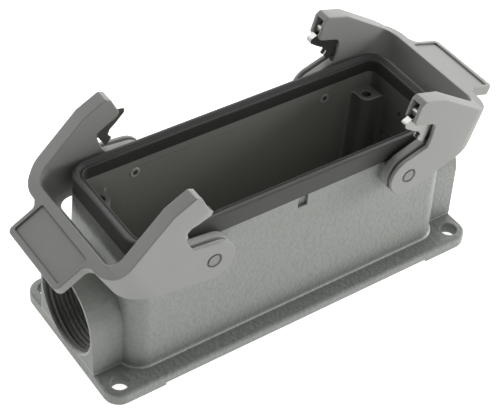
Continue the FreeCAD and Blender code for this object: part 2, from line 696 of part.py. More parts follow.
def make_leaf(name):
    """A bent strip between the roof of the slot and the back of the catch."""
    body = new_body(name)
    path = sketch_on(body, name + "_path", "XZ_Plane")
    chain(path, [
        ("dims.slot_back_x", "dims.leaf_root_z"),
        ("-dims.leaf_bend_x", "dims.leaf_bend_z", "dims.leaf_bend_radius"),
        ("-dims.leaf_tip_x", "dims.leaf_tip_z"),
    ], closed=False)
    section = sketch_on(body, name + "_section", "YZ_Plane", "dims.slot_back_x")
    chain(section, [
        ("-" + CATCH_SIDE, "dims.leaf_root_z - dims.leaf_thickness / 2"),
        (CATCH_SIDE, "dims.leaf_root_z - dims.leaf_thickness / 2"),
        (CATCH_SIDE, "dims.leaf_root_z + dims.leaf_thickness / 2"),
        ("-" + CATCH_SIDE, "dims.leaf_root_z + dims.leaf_thickness / 2"),
    ])
    doc.recompute()
    sweep = body.newObject("PartDesign::AdditivePipe", name + "_sweep")
    sweep.Profile = section
    sweep.Spine = (path, ["Edge%d" % (i + 1) for i in range(len(path.Shape.Edges))])
    doc.recompute()
    return body


def make_pin(name):
    """A shouldered rivet pin: head end in the arm, tail through boss and wall."""
    body = new_body(name)
    half = sketch_on(body, name + "_half_section", "YZ_Plane")
    tail = "(%s - dims.pin_tail_proud)" % HALF_CAVITY_Y
    head = "(%s - dims.pin_sink)" % ARM_OUTER_Y
    chain(half, [
        ("%s + dims.pin_dimple_depth" % tail, "0"),
        (head, "0"),
        (head, "dims.pin_radius"),
        (BOSS_FACE_Y, "dims.pin_radius"),
        (BOSS_FACE_Y, "dims.pin_tail_radius"),
        (tail, "dims.pin_tail_radius"),
        (tail, "dims.pin_dimple_radius"),
    ])
    turned = body.newObject("PartDesign::Revolution", name + "_turned")
    turned.Profile = half
    turned.ReferenceAxis = (half, ["H_Axis"])
    turned.Angle = 360
    doc.recompute()
    return body


ACROSS = FreeCAD.Vector(0, 1, 0)
UP = FreeCAD.Vector(0, 0, 1)

for hand, sign, half_turn in (("left", "-", 180), ("right", "", 0)):
    pivot = shift(sign + "dims.pivot_x", "0", PIVOT_Z)
    facing = turn(UP, half_turn)
    opened = turn(ACROSS, SIZES[hand + "_open_angle"])
    seat = pivot * facing * opened
    lever = make_lever("lever_" + hand)
    lever.Placement = seat
    for row, side in (("near", 1 if hand == "left" else -1), ("far", -1 if hand == "left" else 1)):
        tag = "_%s_%s" % (hand, row)
        arm = seat * shift("0", "%d * %s" % (side, SLOT_Y), "0")
        catch = make_catch("catch" + tag)
        catch.Placement = arm
        if tag == "_left_near":
            sag = turn(ACROSS, -SIZES["near_left_catch_sag"])
            centre = shift("-dims.sag_centre_x", "0", "dims.sag_centre_z")
            catch.Placement = arm * centre * sag * centre.inverse()
        leaf = make_leaf("leaf_spring" + tag)
        leaf.Placement = arm
        pin = make_pin("pivot_pin" + tag)
        pin.Placement = pivot * turn(UP, 180 if row == "near" else 0)


# Check and export

doc.recompute()
for item in doc.Objects:
    if "Invalid" in item.State or "Error" in item.State:
        raise RuntimeError("object did not compute: " + item.Name)

os.makedirs("parts", exist_ok=True)
for body in doc.findObjects("PartDesign::Body"):
    shape = body.Shape
    if shape.isNull() or not shape.isValid() or len(shape.Solids) != 1:
        raise RuntimeError("body is not one valid solid: " + body.Label)
    shape.exportStep("parts/%s.step" % body.Label)
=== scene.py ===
"""Looks of a surface-mounting rectangular connector housing with two locking levers.

Units are metres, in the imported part's frame: X along the housing, Y across it, Z up.
"""

import math

import bmesh
import bpy
from bpy.props import FloatProperty, FloatVectorProperty, IntProperty, PointerProperty
from mathutils import Matrix, Vector


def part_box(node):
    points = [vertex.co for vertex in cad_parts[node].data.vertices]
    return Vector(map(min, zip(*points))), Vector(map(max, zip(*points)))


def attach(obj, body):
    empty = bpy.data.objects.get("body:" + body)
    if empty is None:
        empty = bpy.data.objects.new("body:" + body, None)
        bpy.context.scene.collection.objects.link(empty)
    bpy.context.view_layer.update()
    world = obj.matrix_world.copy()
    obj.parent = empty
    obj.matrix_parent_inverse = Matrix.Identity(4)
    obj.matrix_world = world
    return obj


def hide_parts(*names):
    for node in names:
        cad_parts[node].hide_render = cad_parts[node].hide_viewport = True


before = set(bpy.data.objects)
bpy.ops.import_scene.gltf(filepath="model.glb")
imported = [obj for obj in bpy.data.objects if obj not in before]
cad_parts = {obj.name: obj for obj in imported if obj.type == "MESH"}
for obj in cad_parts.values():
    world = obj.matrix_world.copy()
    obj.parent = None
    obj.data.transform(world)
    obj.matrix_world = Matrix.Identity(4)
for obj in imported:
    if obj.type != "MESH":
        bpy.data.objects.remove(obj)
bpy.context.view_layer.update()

bl_info = {
    "name": "Connector housing looks",
    "version": (1, 0, 0),
    "blender": (4, 5, 0),
    "location": "3D View > Sidebar > Connector",
    "description": "Dresses the packed connector housing, its seal, levers, catches and pins",
    "category": "Object",
}

MM = 0.001
# Room for rounding where a height or a radius of the solids is compared.
SLACK = 0.02 * MM
ROWS = ("near", "far")
HANDS = ("left", "right")

# Points nearer than SAME_POINT are one, and faces within FLAT of one plane are made one.
SAME_POINT = 0.002 * MM
FLAT = math.radians(0.4)
# Edges sharper than this are rounded.
SHARP = math.radians(28)
# Edges sharper than SHADE_SHARP show a crease. Across the object, where at least this share of
# the edge's direction is along Y, CREASE is enough between two flats larger than BROAD.
SHADE_SHARP = math.radians(38)
CREASE = math.radians(10)
ACROSS = 0.99
BROAD = 40 * MM * MM


# Node helpers

# The colour sockets of a Mix node.
MIX_FIRST, MIX_SECOND, MIX_RESULT = 6, 7, 2


def add_node(tree, kind, **settings):
    """A node of one kind with its settings."""
    node = tree.nodes.new(kind)
    for key, value in settings.items():
        setattr(node, key, value)
    return node


def feed(tree, target, source):
    """Link a socket to a source socket, or set it to a plain value."""
    if isinstance(source, bpy.types.NodeSocket):
        tree.links.new(source, target)
    else:
        target.default_value = source


def maths(tree, operation, first, second=0.0, third=0.0):
    """The result socket of a Math node."""
    node = add_node(tree, "ShaderNodeMath", operation=operation)
    for socket, source in zip(node.inputs, (first, second, third)):
        feed(tree, socket, source)
    return node.outputs[0]


def vector_maths(tree, operation, *sources):
    """The result socket of a Vector Math node."""
    node = add_node(tree, "ShaderNodeVectorMath", operation=operation)
    for socket, source in zip(node.inputs, sources):
        feed(tree, socket, source)
    return node.outputs[0]


def axes(tree, vector):
    """The X, Y and Z sockets of a vector."""
    node = add_node(tree, "ShaderNodeSeparateXYZ")
    feed(tree, node.inputs[0], vector)
    return node.outputs


def between(tree, value, low, high):
    """One where the value lies between two limits."""
    return maths(tree, "MULTIPLY", maths(tree, "GREATER_THAN", value, low),
                 maths(tree, "LESS_THAN", value, high))


def ramp(tree, value, start, length):
    """Zero where the value is at start, rising to one over a length."""
    slope = maths(tree, "MULTIPLY_ADD", value, 1 / length, -start / length)
    return maths(tree, "MINIMUM", maths(tree, "MAXIMUM", slope, 0.0), 1.0)


def squared(tree, first, second):
    """The square of the distance that two steps at right angles make."""
    return maths(tree, "MULTIPLY_ADD", first, first, maths(tree, "MULTIPLY", second, second))


def noise(tree, vector, scale, detail=2.0):
    """A noise texture node."""
    node = add_node(tree, "ShaderNodeTexNoise")
    for label, source in (("Vector", vector), ("Scale", scale), ("Detail", detail)):
        feed(tree, node.inputs[label], source)
    return node


def mixed(tree, share, first, second):
    """The result socket of a mix of two colours, each a socket or three values."""
    node = add_node(tree, "ShaderNodeMix", data_type="RGBA")
    feed(tree, node.inputs["Factor"], share)
    for index, source in ((MIX_FIRST, first), (MIX_SECOND, second)):
        linked = isinstance(source, bpy.types.NodeSocket)
        feed(tree, node.inputs[index], source if linked else (*source, 1))
    return node.outputs[MIX_RESULT]


def duller(colour, share):
    """A share of a colour."""
    return tuple(share * channel for channel in colour)


def new_group(name, inputs, outputs):
    """An empty shader group with named sockets, and its two end nodes."""
    group = bpy.data.node_groups.new(name, "ShaderNodeTree")
    for label, kind, value in inputs:
        socket = group.interface.new_socket(name=label, in_out="INPUT", socket_type=kind)
        if value is not None:
            socket.default_value = value
    for label in outputs:
        group.interface.new_socket(name=label, in_out="OUTPUT", socket_type="NodeSocketFloat")
    return group, add_node(group, "NodeGroupInput"), add_node(group, "NodeGroupOutput")


def use_group(tree, name, **sources):
    """The outputs of a group placed in a material, with its inputs fed by name."""
    node = add_node(tree, "ShaderNodeGroup", node_tree=bpy.data.node_groups[name])
    for label, source in sources.items():
        feed(tree, node.inputs[label], source)
    return node.outputs


def new_material(name):
    """A material with one Principled shader: its tree, shader and object coordinates."""
    material = bpy.data.materials.new(name)
    material.use_nodes = True
    tree = material.node_tree
    shader = tree.nodes["Principled BSDF"]
    place = add_node(tree, "ShaderNodeTexCoord").outputs["Object"]
    return material, tree, shader, place


def roughened(tree, shader, value, spread, least):
    """Feed a value to the shader's roughness, over a spread above its least."""
    rough = maths(tree, "MULTIPLY_ADD", value, spread, least)
    feed(tree, shader.inputs["Roughness"], rough)


def bumped(tree, shader, height, distance):
    """Feed a height to the shader's normal; distance is the relief in metres."""
    bump = add_node(tree, "ShaderNodeBump")
    bump.inputs["Strength"].default_value = 1.0
    bump.inputs["Distance"].default_value = distance
    feed(tree, bump.inputs["Height"], height)
    feed(tree, shader.inputs["Normal"], bump.outputs["Normal"])


# Shared effects

# Hammer finish: the warp's scale beside the cells' own, how far it moves them, how soft and
# how steep the cells are, and the height of the ripple on them.
WARP_SCALE = 0.8
WARP_REACH = 1.2 * MM
CELL_SOFTNESS = 0.6
CELL_POWER = 1.6
RIPPLE = 0.35
# The drift of a grain's tone is this many times coarser than the grain.
DRIFT_COARSER = 30.0
LINE_DETAIL = 3.0


def make_hammer_group():
    """Pooled cells of a hammer-finish paint, with a fine ripple in them."""
    group, given, result = new_group("hammer_finish", [
        ("Vector", "NodeSocketVector", None),
        ("Cells", "NodeSocketFloat", 700.0),
    ], ["Height", "Shade"])
    vector, scale = given.outputs["Vector"], given.outputs["Cells"]
    warp = noise(group, vector, maths(group, "MULTIPLY", scale, WARP_SCALE))
    offset = vector_maths(group, "MULTIPLY", warp.outputs["Color"], [WARP_REACH] * 3)
    cells = add_node(group, "ShaderNodeTexVoronoi", feature="SMOOTH_F1")
    feed(group, cells.inputs["Vector"], vector_maths(group, "ADD", vector, offset))
    feed(group, cells.inputs["Scale"], scale)
    feed(group, cells.inputs["Smoothness"], CELL_SOFTNESS)
    dome = maths(group, "POWER", cells.outputs["Distance"], CELL_POWER)
    height = maths(group, "MULTIPLY_ADD", warp.outputs["Fac"], RIPPLE, dome)
    feed(group, result.inputs["Height"], height)
    feed(group, result.inputs["Shade"], cells.outputs["Distance"])


def make_grain_group():
    """Fine even grain of a moulded surface, and a slow drift of its tone."""
    group, given, result = new_group("fine_grain", [
        ("Vector", "NodeSocketVector", None),
        ("Scale", "NodeSocketFloat", 2500.0),
    ], ["Height", "Drift"])
    vector, scale = given.outputs["Vector"], given.outputs["Scale"]
    grain = noise(group, vector, scale)
    drift = noise(group, vector, maths(group, "DIVIDE", scale, DRIFT_COARSER))
    feed(group, result.inputs["Height"], grain.outputs["Fac"])
    feed(group, result.inputs["Drift"], drift.outputs["Fac"])


def make_rolled_group():
    """Rolling lines of a stamped steel sheet, drawn out along one direction."""
    group, given, result = new_group("rolled_lines", [
        ("Vector", "NodeSocketVector", None),
        ("Stretch", "NodeSocketVector", (200.0, 3000.0, 3000.0)),
    ], ["Height"])
    drawn = vector_maths(group, "MULTIPLY", given.outputs["Vector"], given.outputs["Stretch"])
    lines = noise(group, drawn, 1.0, LINE_DETAIL)
    feed(group, result.inputs["Height"], lines.outputs["Fac"])


def make_inside_group():
    """One inside a box about the middle of the object, zero outside it."""
    group, given, result = new_group("inside_box", [
        ("Vector", "NodeSocketVector", None),
        ("Half", "NodeSocketVector", None),
    ], ["Mask"])
    size = axes(group, vector_maths(group, "ABSOLUTE", given.outputs["Vector"]))
    limit = axes(group, given.outputs["Half"])
    x, y, z = [maths(group, "LESS_THAN", *pair) for pair in zip(size, limit)]
    flat = maths(group, "MULTIPLY", x, y)
    feed(group, result.inputs["Mask"], maths(group, "MULTIPLY", flat, z))


def make_corner_shade_group():
    """Painted shade where a surface is closed in by its own piece."""
    group, given, result = new_group("corner_dirt", [
        ("Reach", "NodeSocketFloat", 0.002),
        ("Amount", "NodeSocketFloat", 1.0),
    ], ["Mask"])
    # Painted shade: the closed-in share that ambient occlusion finds darkens the colour.
    open_share = add_node(group, "ShaderNodeAmbientOcclusion", samples=8, only_local=True)
    feed(group, open_share.inputs["Distance"], given.outputs["Reach"])
    closed = maths(group, "SUBTRACT", 1.0, open_share.outputs["AO"])
    share = maths(group, "MULTIPLY", closed, given.outputs["Amount"])
    feed(group, result.inputs["Mask"], maths(group, "MINIMUM", share, 1.0))


# Materials

# Grains to a metre.
COAT_GRAIN = 1600.0
THREAD_GRAIN = 2600.0
LEVER_GRAIN = 2200.0
SEAL_GRAIN = 3000.0
SEMI_MATT_SPECULAR = 0.35
# Rolling lines: how close together they lie along each axis, and their depth.
SHEET_STRETCH = (600.0, 6000.0, 3000.0)
PIN_STRETCH = (3000.0, 300.0, 3000.0)
LINE_RELIEF = 0.004 * MM


def coat_material(settings, entry_height):
    """Hammer-finish paint outside, the same paint thinner and smoother in the cavity, with
    painted shade in the cavity, on its ends, in its corners and on the right posts, and painted
    light on the wall's foot, the post tops, the blind hollow and the entry's lip.
    """
    material, tree, shader, place = new_material("hammer_coat")
    x, y, z = axes(tree, place)
    hammer = use_group(tree, "hammer_finish", Vector=place, Cells=1 / settings.cell)
    grain = use_group(tree, "fine_grain", Vector=place, Scale=COAT_GRAIN)
    inside = use_group(tree, "inside_box", Vector=place, Half=settings.cavity_half)["Mask"]
    middle = use_group(tree, "inside_box", Vector=place, Half=settings.middle_half)["Mask"]
    # Painted shade in the corners, from ambient occlusion.
    corner_shade = use_group(tree, "corner_dirt", Reach=settings.shade_reach, Amount=settings.corner_shade)
    posts = box_beyond(tree, place, x, settings.post_half, settings.post_start)
    foot = between(tree, z, settings.foot_low, settings.foot_high)
    hollow = box_beyond(tree, place, x, settings.hollow_half, settings.hollow_start)
    bore, bore_colour = entry_lip(tree, settings, x, y, z, entry_height)

    pits = maths(tree, "MULTIPLY", hammer["Shade"], settings.pits)
    tone = mixed(tree, pits, settings.colour, settings.pit_colour)
    for mask, colour in (
            # Painted shade over the cavity.
            (inside, settings.cavity_shade_colour),
            # Painted shade on the cavity's ends.
            (maths(tree, "SUBTRACT", inside, middle), settings.end_shade_colour),
            # Painted shade in the casting's corners.
            (corner_shade["Mask"], settings.shade_colour),
            # Painted shade on the right corner posts.
            (posts, settings.end_shade_colour),
            # Painted highlight along the wall's foot.
            (maths(tree, "MULTIPLY", foot, settings.foot_highlight), settings.painted_light_colour),
            # Painted highlight on the tops of the right corner posts.
            (post_top_highlight(tree, settings, x, z), settings.painted_light_colour),
            # Painted light in the blind hollow.
            (hollow, settings.painted_light_colour),
            # Painted light and shade on the entry's lip.
            (bore, bore_colour)):
        tone = mixed(tree, mask, tone, colour)
    feed(tree, shader.inputs["Base Color"], tone)

    outside = maths(tree, "MULTIPLY_ADD", inside, -settings.smoothing, 1.0)
    relief = maths(tree, "MULTIPLY", hammer["Height"], outside)
    relief = maths(tree, "MULTIPLY_ADD", grain["Height"], settings.grain, relief)
    bumped(tree, shader, relief, settings.relief)
    roughened(tree, shader, hammer["Shade"], spread=0.15, least=settings.roughness)
    shader.inputs["Specular IOR Level"].default_value = SEMI_MATT_SPECULAR
    return material


def box_beyond(tree, place, x, half, start):
    """One inside a box about the middle and beyond a distance along X."""
    box = use_group(tree, "inside_box", Vector=place, Half=half)
    return maths(tree, "MULTIPLY", box["Mask"], maths(tree, "GREATER_THAN", x, start))


def post_top_highlight(tree, settings, x, z):
    """Painted highlight on the tops of the right corner posts, strongest along their rims."""
    top = between(tree, z, settings.post_top - SLACK, settings.post_top + settings.post_rim / 2)
    rim = between(tree, z, settings.post_top - settings.post_rim, settings.post_top - SLACK)
    highlight = maths(tree, "MULTIPLY_ADD", top, settings.top_highlight,
                 maths(tree, "MULTIPLY", rim, settings.rim_highlight))
    return maths(tree, "MULTIPLY", highlight,
                 between(tree, x, settings.ledge_start, settings.ledge_end))


def entry_lip(tree, settings, x, y, z, entry_height):
    """The cable entry's outer bore: its mask, and its tone, with painted light on the near side
    and painted shade on the far side.
    """
    rise = maths(tree, "SUBTRACT", z, entry_height)
    within = maths(tree, "LESS_THAN", squared(tree, y, rise), settings.bore_lip ** 2)
    outer = maths(tree, "LESS_THAN", x, settings.bore_depth)
    # Painted shade on the far side, painted light on the near side.
    lean = ramp(tree, y, settings.lip_start, -settings.lip_fade)
    tone = mixed(tree, lean, settings.shade_colour, settings.painted_light_colour)
    return maths(tree, "MULTIPLY", within, outer), tone


def thread_material(settings):
    """Thin paint on the cut thread, darker than the coat outside as painted shade of the bore,
    with painted light in its root and lower down, painted shade on its crests higher up, and
    painted shade at its mouth.
    """
    material, tree, shader, place = new_material("thread_coat")
    x, y, z = axes(tree, place)
    grain = use_group(tree, "fine_grain", Vector=place, Scale=THREAD_GRAIN)
    rise = maths(tree, "SUBTRACT", z, settings.axis_height)
    away = maths(tree, "SQRT", squared(tree, y, rise))
    deep = ramp(tree, away, settings.radius - settings.depth, settings.depth)
    low = ramp(tree, rise, 0.0, -settings.radius)
    inner = ramp(tree, x, settings.mouth, settings.fade)
    # Painted shade on the crests higher up, painted light in the roots lower down.
    crest = mixed(tree, low, duller(settings.colour, share=0.5), settings.colour)
    root = mixed(tree, low, settings.colour, settings.root_light_colour)
    # Painted shade at the mouth.
    tone = mixed(tree, inner, settings.mouth_shade_colour, mixed(tree, deep, crest, root))
    feed(tree, shader.inputs["Base Color"], tone)
    shader.inputs["Roughness"].default_value = settings.roughness
    bumped(tree, shader, grain["Height"], settings.grain)
    return material


def plastic_material(settings):
    """Smooth semi-matt moulding with a faint spark grain, and painted shade in its corners."""
    material, tree, shader, place = new_material("lever_moulding")
    grain = use_group(tree, "fine_grain", Vector=place, Scale=LEVER_GRAIN)
    corner_shade = use_group(tree, "corner_dirt", Reach=settings.shade_reach, Amount=settings.corner_shade)
    tone = mixed(tree, grain["Drift"], settings.colour, settings.drift_colour)
    # Painted shade in the corners, grooves and recesses.
    tone = mixed(tree, corner_shade["Mask"], tone, settings.shade_colour)
    feed(tree, shader.inputs["Base Color"], tone)
    roughened(tree, shader, grain["Drift"], spread=0.12, least=settings.roughness)
    shader.inputs["Specular IOR Level"].default_value = SEMI_MATT_SPECULAR
    bumped(tree, shader, grain["Height"], settings.grain)
    return material


def rubber_material(settings):
    """Moulded rubber, with a painted sheen on its outer lip."""
    material, tree, shader, place = new_material("seal_rubber")
    grain = use_group(tree, "fine_grain", Vector=place, Scale=SEAL_GRAIN)
    inner = use_group(tree, "inside_box", Vector=place, Half=settings.inner_half)["Mask"]
    patchy = maths(tree, "MULTIPLY_ADD", grain["Drift"], settings.sheen_drift,
                   settings.sheen_least)
    # Painted sheen on the outer lip, patchy with the grain's drift.
    sheen = maths(tree, "MULTIPLY", maths(tree, "SUBTRACT", 1.0, inner), patchy)
    tone = mixed(tree, sheen, settings.colour, settings.sheen_colour)
    feed(tree, shader.inputs["Base Color"], tone)
    roughened(tree, shader, grain["Height"], spread=0.15, least=settings.roughness)
    bumped(tree, shader, grain["Height"], settings.grain)
    return material


def steel_material(name, colour, metallic, roughness, stretch):
    """Rolled steel, drawn along the direction in which stretch is small."""
    material, tree, shader, place = new_material(name)
    lines = use_group(tree, "rolled_lines", Vector=place, Stretch=stretch)["Height"]
    shader.inputs["Metallic"].default_value = metallic
    tone = mixed(tree, lines, colour, duller(colour, share=0.7))
    feed(tree, shader.inputs["Base Color"], tone)
    roughened(tree, shader, lines, spread=0.2, least=roughness)
    bumped(tree, shader, lines, LINE_RELIEF)
    return material


def show_tails(material, settings, pivot):
    """Bare riveted ends of the pins inside the cavity, each with painted shade in its dimple.
    """
    tree = material.node_tree
    colour = tree.nodes["Principled BSDF"].inputs["Base Color"]
    coated = colour.links[0].from_socket
    place = add_node(tree, "ShaderNodeTexCoord").outputs["Object"]
    x, _, z = axes(tree, place)
    ends = use_group(tree, "inside_box", Vector=place, Half=settings.tail_half)["Mask"]
    along = maths(tree, "SUBTRACT", maths(tree, "ABSOLUTE", x), pivot.x)
    up = maths(tree, "SUBTRACT", z, pivot.z)
    dimple = maths(tree, "LESS_THAN", squared(tree, along, up), settings.dimple_radius ** 2)
    # Painted shade in the dimple.
    end = mixed(tree, dimple, settings.tail_colour, settings.dimple_shade_colour)
    feed(tree, colour, mixed(tree, ends, coated, end))


# Mesh helpers

# An arc's points lie within this many radii of its corner.
CORNER_REACH = 1.6
# A lever's arcs have at least this many points together.
LEAST_CORNER_POINTS = 16


def clean_copy(node):
    """A CAD node's mesh with its points merged and its flat faces made whole."""
    work = bmesh.new()
    work.from_mesh(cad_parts[node].data)
    bmesh.ops.remove_doubles(work, verts=work.verts[:], dist=SAME_POINT)
    bmesh.ops.dissolve_limit(work, angle_limit=FLAT, verts=work.verts[:], edges=work.edges[:])
    return work


def soften(work, width, segments, wanted=lambda middle: True):
    """Round the sharp outward edges whose middle point is wanted, but no tiny ones."""
    edges = [edge for edge in work.edges
             if edge.is_convex and edge.calc_face_angle(0) > SHARP
             and edge.calc_length() > width / 2
             and wanted((edge.verts[0].co + edge.verts[1].co) / 2)]
    bmesh.ops.bevel(work, geom=edges, offset=width, offset_type="OFFSET", segments=segments,
                    profile=0.5, affect="EDGES", material=-1, clamp_overlap=False,
                    loop_slide=True)


def is_crease(edge):
    """A sharp edge, or a shallow one across the object between two broad flats."""
    angle = edge.calc_face_angle(0)
    if angle > SHADE_SHARP:
        return True
    along = (edge.verts[1].co - edge.verts[0].co).normalized()
    return angle > CREASE and abs(along.y) > ACROSS and (
        min(face.calc_area() for face in edge.link_faces) > BROAD)


def finish_piece(work, name, material, body, replaced=()):
    """Turn the work into a shaded piece that rides on a body."""
    for edge in work.edges:
        edge.smooth = not is_crease(edge)
    for face in work.faces:
        face.smooth = True
    mesh = bpy.data.meshes.new(name)
    work.to_mesh(mesh)
    work.free()
    mesh.materials.append(material)
    piece = bpy.data.objects.new(name, mesh)
    bpy.context.scene.collection.objects.link(piece)
    even = piece.modifiers.new("even_shading", "WEIGHTED_NORMAL")
    even.keep_sharp = True
    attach(piece, body)
    if replaced:
        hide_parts(*replaced)


def open_corners(work, settings, side, tilt):
    """Widen the two arcs inside a lever's fork, each about its own sharp corner."""
    deep, half, top = settings.fork_corner
    scale = settings.full_radius / settings.cut_radius
    reach = settings.cut_radius + SLACK
    cosine, sine = math.cos(tilt), math.sin(tilt)
    corners = []
    for row in (-1, 1):
        for height in (top, settings.fork_foot):
            x = settings.pivot[0] + deep * cosine + height * sine
            z = settings.pivot[2] - deep * sine + height * cosine
            corners.append(Vector((side * x, row * half, z)))
    moved = 0
    for vert in work.verts:
        for corner in corners:
            away = vert.co - corner
            inwards = -math.copysign(1, corner.y) * away.y
            along = side * away.x * cosine - away.z * sine
            if (away.length < CORNER_REACH * reach and -SLACK <= inwards <= reach
                    and -reach <= along <= SLACK):
                vert.co = corner + away * scale
                moved += 1
                break
    if moved < LEAST_CORNER_POINTS:
        raise RuntimeError("the fork's corners were not found")


def turned(work, outline, centre, axis, steps):
    """Spin an outline of (along, radius) pairs round an axis through a centre."""
    side = Vector((0, 0, 1))
    verts = [work.verts.new(centre + axis * along + side * radius) for along, radius in outline]
    edges = [work.edges.new(pair) for pair in zip(verts, verts[1:])]
    bmesh.ops.spin(work, geom=verts + edges, cent=centre, axis=axis, angle=math.tau,
                   steps=steps, use_merge=True)
    bmesh.ops.remove_doubles(work, verts=work.verts[:], dist=SAME_POINT)
    bmesh.ops.recalc_face_normals(work, faces=work.faces[:])


# Settings

def colour_setting(name, description, *channels):
    """A colour."""
    return FloatVectorProperty(name=name, description=description, subtype="COLOR",
                               default=channels, min=0, max=1)


def size_setting(name, description, millimetres):
    """A length, written here in millimetres."""
    return FloatProperty(name=name, description=description, subtype="DISTANCE",
                         default=millimetres * MM)


def place_setting(name, description, *millimetres):
    """A point or a half size, written here in millimetres."""
    return FloatVectorProperty(name=name, description=description, subtype="XYZ",
                               unit="LENGTH", default=[value * MM for value in millimetres])


def angle_setting(name, description, degrees):
    """An angle, written here in degrees."""
    return FloatProperty(name=name, description=description, subtype="ANGLE",
                         default=math.radians(degrees))


def share_setting(name, description, share):
    """A share, which may pass one."""
    return FloatProperty(name=name, description=description, subtype="FACTOR", default=share,
                         min=0, soft_max=1)


def power_setting(name, description, watts):
    """The power of a lamp."""
    return FloatProperty(name=name, description=description, unit="POWER", default=watts, min=0)


class CoatSettings(bpy.types.PropertyGroup):
    """Paint and edges of the casting."""
    colour: colour_setting("Colour", "Paint colour outside", 0.4, 0.415, 0.39)
    pit_colour: colour_setting("Pit colour", "Paint between the cells", 0.285, 0.3, 0.28)
    pits: share_setting("Pits", "How much of that colour shows", 0.5)
    # Painted shade: the paint in the cavity is darker than outside.
    cavity_shade_colour: colour_setting("Cavity colour", "Paint in the cavity", 0.36, 0.36, 0.335)
    cavity_half: place_setting("Cavity half", "Half size of the cavity", 58, 18, 1000)
    # Painted shade on the cavity's ends and on the right corner posts.
    end_shade_colour: colour_setting("End colour", "Paint on the cavity's ends and its right posts",
                               0.19, 0.19, 0.178)
    middle_half: place_setting("Middle half", "Half size between the ends", 55.9, 18, 1000)
    # Painted light: a light colour for the line at the wall's foot, the post tops, the blind
    # hollow and the near side of the entry's lip.
    painted_light_colour: colour_setting("Worn colour", "Where the paint is thin", 0.68, 0.695, 0.66)
    # Painted shade: a dark colour for the casting's corners and the far side of the entry's
    # lip, then how much of it shows in the corners and how far it spreads.
    shade_colour: colour_setting("Dirt colour", "Grime in the corners", 0.1, 0.103, 0.096)
    corner_shade: share_setting("Dirt", "Amount of grime in the corners", 0.8)
    shade_reach: size_setting("Dirt reach", "How far it spreads", 8.0)
    # Painted highlight on the tops of the right corner posts and along their rims.
    post_top: size_setting("Post top", "Height of the corner posts", 45)
    post_rim: size_setting("Post rim", "Height of the worn line round their tops", 0.4)
    top_highlight: share_setting("Top wear", "Wear on their tops", 0.12)
    rim_highlight: share_setting("Rim wear", "Wear along that line", 0.75)
    ledge_start: size_setting("Ledge start", "Where the worn tops begin, along X", 48)
    ledge_end: size_setting("Ledge end", "Where the worn tops end, along X", 55.5)
    post_half: place_setting("Post half", "Half size over the posts", 56, 16.9, 44.6)
    post_start: size_setting("Post start", "Where the right posts begin, along X", 46.5)
    # Painted light: the blind hollow in the right end is coloured light.
    hollow_half: place_setting("Hollow half", "Half size to the end of the blind hollow",
                               68.7, 12.05, 31.2)
    hollow_start: size_setting("Hollow start", "Where it begins, along X", 57.5)
    # Painted light and shade on the entry's lip: lighter towards the near side, darker towards
    # the far side.
    bore_lip: size_setting("Bore lip", "Radius round the entry's chamfer", 14.96)
    bore_depth: size_setting("Bore depth", "Where the lip's paint ends, along X", -63.1)
    lip_start: size_setting("Lip start", "Where the lip starts to lighten, along Y", 7)
    lip_fade: size_setting("Lip fade", "Distance over which it lightens", 20)
    # Painted highlight: a thin light line along the foot of the wall, and how strong it is.
    foot_low: size_setting("Foot low", "Where the thin line at the wall's foot begins", 4.56)
    foot_high: size_setting("Foot high", "Where that line ends", 4.95)
    foot_highlight: share_setting("Foot wear", "Wear along that line", 0.8)
    cell: size_setting("Cell", "Size of the hammer finish's cells", 1.3)
    relief: size_setting("Relief", "Depth of the hammer finish", 0.16)
    grain: share_setting("Grain", "The fine grain's share of that depth", 0.12)
    smoothing: share_setting("Smoothing", "How much smoother the cavity is", 0.8)
    roughness: share_setting("Roughness", "Dullness of the paint", 0.38)
    edge_round: size_setting("Edge round", "Rounding of the casting's edges", 0.3)
    rim_gap: size_setting("Rim gap", "How far below the seal edges stay sharp", 0.5)


class ThreadSettings(bpy.types.PropertyGroup):
    """Conduit thread of the cable entry."""
    pitch: size_setting("Pitch", "Distance from turn to turn", 1.5)
    depth: size_setting("Depth", "Height of the thread's ridge", 0.8)
    radius: size_setting("Radius", "Radius at the thread's root", 14.15)
    foot: share_setting("Foot", "Half width of the ridge's foot, as a share of the pitch", 0.46)
    crest: share_setting("Crest", "Half width of its crest, as a share of the pitch", 0.08)
    sunk: size_setting("Sunk", "How far the ridge's foot sits in the bore's wall", 0.05)
    start: share_setting("Start", "Where the first turn begins, in pitches from the end", 0.8)
    axis_height: size_setting("Axis height", "Height of the bore's axis", 18.2)
    length: size_setting("Length", "Length that the thread takes", 13)
    # Painted shade at the thread's mouth, fading inwards over a depth.
    mouth: size_setting("Mouth", "Where the grime of the mouth begins, along X", -70.5)
    fade: size_setting("Fade", "Depth over which that grime fades", 3)
    steps: IntProperty(name="Steps", description="Segments in one turn", default=64)
    # Painted shade: the thread's paint is darker than the coat outside.
    colour: colour_setting("Colour", "Thin paint on the thread", 0.2, 0.205, 0.194)
    # Painted shade at the mouth.
    mouth_shade_colour: colour_setting("Dark colour", "Grime at the mouth", 0.055, 0.056, 0.053)
    # Painted light in the thread's root, lower down.
    root_light_colour: colour_setting("Root colour", "Paint that pooled below", 0.7, 0.71, 0.67)
    roughness: share_setting("Roughness", "Dullness of the thin paint", 0.45)
    grain: size_setting("Grain", "Depth of the cut's grain", 0.02)


